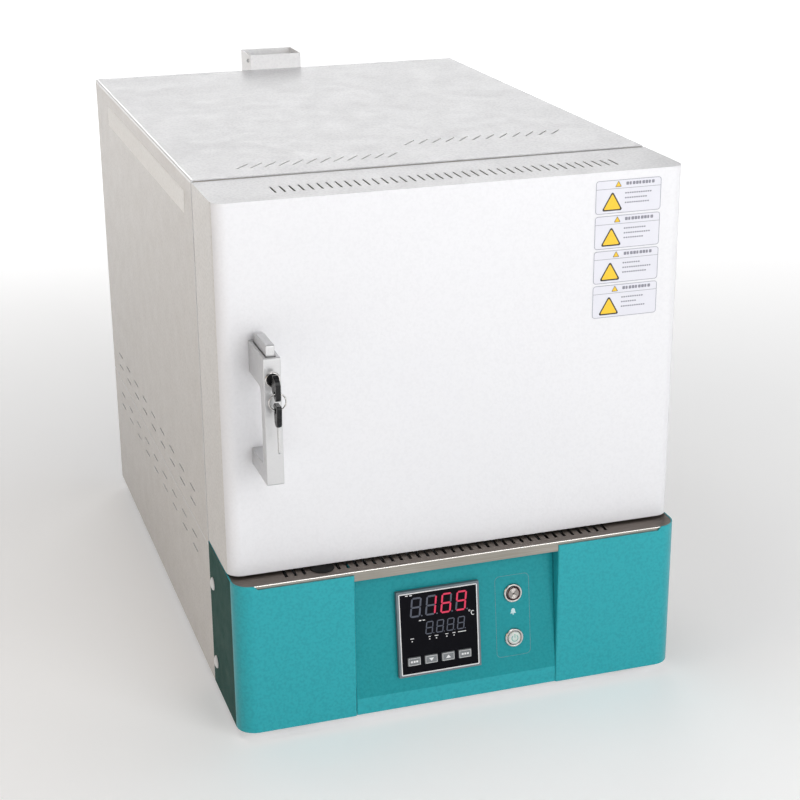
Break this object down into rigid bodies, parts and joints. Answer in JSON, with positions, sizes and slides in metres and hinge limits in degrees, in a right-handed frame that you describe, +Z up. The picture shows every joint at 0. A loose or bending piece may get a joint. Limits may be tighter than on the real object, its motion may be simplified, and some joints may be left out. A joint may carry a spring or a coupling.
{
  "type": "bench-top chamber kiln",
  "caption": "Bench-top electric chamber kiln: insulated box with a side-hinged door, keyed handle, stainless ledge, tilted control panel with display and push-buttons, rear flue duct.",
  "frame": {"origin": "centre of the whole object's box in plan, on the plane under its feet", "axes": "+Z up; +X to the right as one faces the door; +Y from the door towards the rear; the door and its handle face -Y"},
  "size_m": [0.5278, 0.891, 0.616],
  "materials": {
    "white_paint": "satin",
    "teal_paint": "satin",
    "stainless": "satin",
    "steel": "satin",
    "die_cast": "satin",
    "chrome": "polished",
    "aluminium": "satin",
    "black_plastic": "satin",
    "grey_plastic": "satin",
    "display_window": "gloss",
    "white_plastic": "satin",
    "rubber": "matte",
    "ceramic_fibre": "matte",
    "fired_ceramic": "matte",
    "silicon_carbide": "matte",
    "heating_alloy": "matte"
  },
  "bodies": {
    "cabinet": {"alarm_bezel": "chrome", "base_block_left": "teal_paint", "base_block_right": "teal_paint", "base_pan": "white_paint", "cable_gland": "black_plastic", "control_panel": "teal_paint", "controller_housing": "black_plastic", "controller_window": "display_window", "exhaust_tube": "fired_ceramic", "flange_screw_left_lower": "white_plastic", "flange_screw_left_upper": "white_plastic", "flange_screw_right_lower": "white_plastic", "flange_screw_right_upper": "white_plastic", "foot_front_left": "rubber", "foot_front_right": "rubber", "foot_rear_left": "rubber", "foot_rear_right": "rubber", "front_frame": "stainless", "hearth_plate": "silicon_carbide", "heat_sink": "aluminium", "heating_element_left": "heating_alloy", "heating_element_right": "heating_alloy", "hinge_bottom_fixed": "steel", "hinge_top_fixed": "steel", "hole_plug": "rubber", "insulation_jacket": "ceramic_fibre", "latch_striker": "steel", "ledge_plate": "stainless", "lower_side_left": "white_paint", "lower_side_right": "white_paint", "mid_deck": "steel", "muffle": "fired_ceramic", "power_bezel": "chrome", "rear_panel": "white_paint", "solid_state_relay": "black_plastic", "terminal_block": "black_plastic", "thermocouple": "fired_ceramic", "upper_cover": "white_paint", "vent_duct": "white_paint"},
    "door": {"door_handle": "die_cast", "door_insulation": "ceramic_fibre", "door_liner": "stainless", "door_plug": "ceramic_fibre", "door_seal": "ceramic_fibre", "door_shell": "white_paint", "hinge_bottom_door": "steel", "hinge_top_door": "steel", "lock_barrel": "chrome"},
    "thumb_lever": {"thumb_lever": "die_cast"},
    "latch_hook": {"latch_hook": "steel"},
    "door_key": {"door_key": "black_plastic"},
    "key_ring": {"key_ring": "chrome"},
    "spare_key": {"spare_key": "black_plastic"},
    "controller_key_1": {"controller_key_1": "grey_plastic"},
    "controller_key_2": {"controller_key_2": "grey_plastic"},
    "controller_key_3": {"controller_key_3": "grey_plastic"},
    "controller_key_4": {"controller_key_4": "grey_plastic"},
    "alarm_cap": {"alarm_cap": "stainless"},
    "power_cap": {"power_cap": "white_plastic"}
  },
  "joints": [
    {"name": "door_hinge", "type": "hinge", "parent": "cabinet", "child": "door", "pos_m": [0.2589, -0.2525, 0.39205], "axis": [0, 0, 1], "range_deg": [0, 120]},
    {"name": "thumb_lever_hinge", "type": "hinge", "parent": "door", "child": "thumb_lever", "pos_m": [-0.2216, -0.367, 0.448], "axis": [1, 0, 0], "range_deg": [0, 12], "stiffness_Nm_per_rad": 0.6, "springref_deg": -8.59},
    {"name": "latch_hook_hinge", "type": "hinge", "parent": "door", "child": "latch_hook", "pos_m": [-0.2216, -0.311, 0.422], "axis": [1, 0, 0], "range_deg": [0, 6]},
    {"name": "door_key_turn", "type": "hinge", "parent": "door", "child": "door_key", "pos_m": [-0.2216, -0.4195, 0.43], "axis": [0, 1, 0], "range_deg": [0, 90]},
    {"name": "key_ring_swing", "type": "hinge", "parent": "door_key", "child": "key_ring", "pos_m": [-0.2216, -0.438, 0.4209], "axis": [1, 0, 0], "range_deg": [-60, 6]},
    {"name": "spare_key_swing", "type": "hinge", "parent": "key_ring", "child": "spare_key", "pos_m": [-0.2216, -0.438, 0.4035], "axis": [1, 0, 0], "range_deg": [-60, 6]},
    {"name": "controller_key_1_press", "type": "slide", "parent": "cabinet", "child": "controller_key_1", "axis": [0, 0.9931, -0.1172], "range_m": [0, 0.0008], "stiffness_N_per_m": 400, "springref_m": -0.0006},
    {"name": "controller_key_2_press", "type": "slide", "parent": "cabinet", "child": "controller_key_2", "axis": [0, 0.9931, -0.1172], "range_m": [0, 0.0008], "stiffness_N_per_m": 400, "springref_m": -0.0006},
    {"name": "controller_key_3_press", "type": "slide", "parent": "cabinet", "child": "controller_key_3", "axis": [0, 0.9931, -0.1172], "range_m": [0, 0.0008], "stiffness_N_per_m": 400, "springref_m": -0.0006},
    {"name": "controller_key_4_press", "type": "slide", "parent": "cabinet", "child": "controller_key_4", "axis": [0, 0.9931, -0.1172], "range_m": [0, 0.0008], "stiffness_N_per_m": 400, "springref_m": -0.0006},
    {"name": "alarm_press", "type": "slide", "parent": "cabinet", "child": "alarm_cap", "axis": [0, 0.9931, -0.1172], "range_m": [0, 0.002], "stiffness_N_per_m": 500, "springref_m": -0.001},
    {"name": "power_press", "type": "slide", "parent": "cabinet", "child": "power_cap", "axis": [0, 0.9931, -0.1172], "range_m": [0, 0.002], "stiffness_N_per_m": 500, "springref_m": -0.001}
  ],
  "couplings": [
    {"joint": "latch_hook_hinge", "follows": "thumb_lever_hinge", "ratio": 0.5}
  ]
}
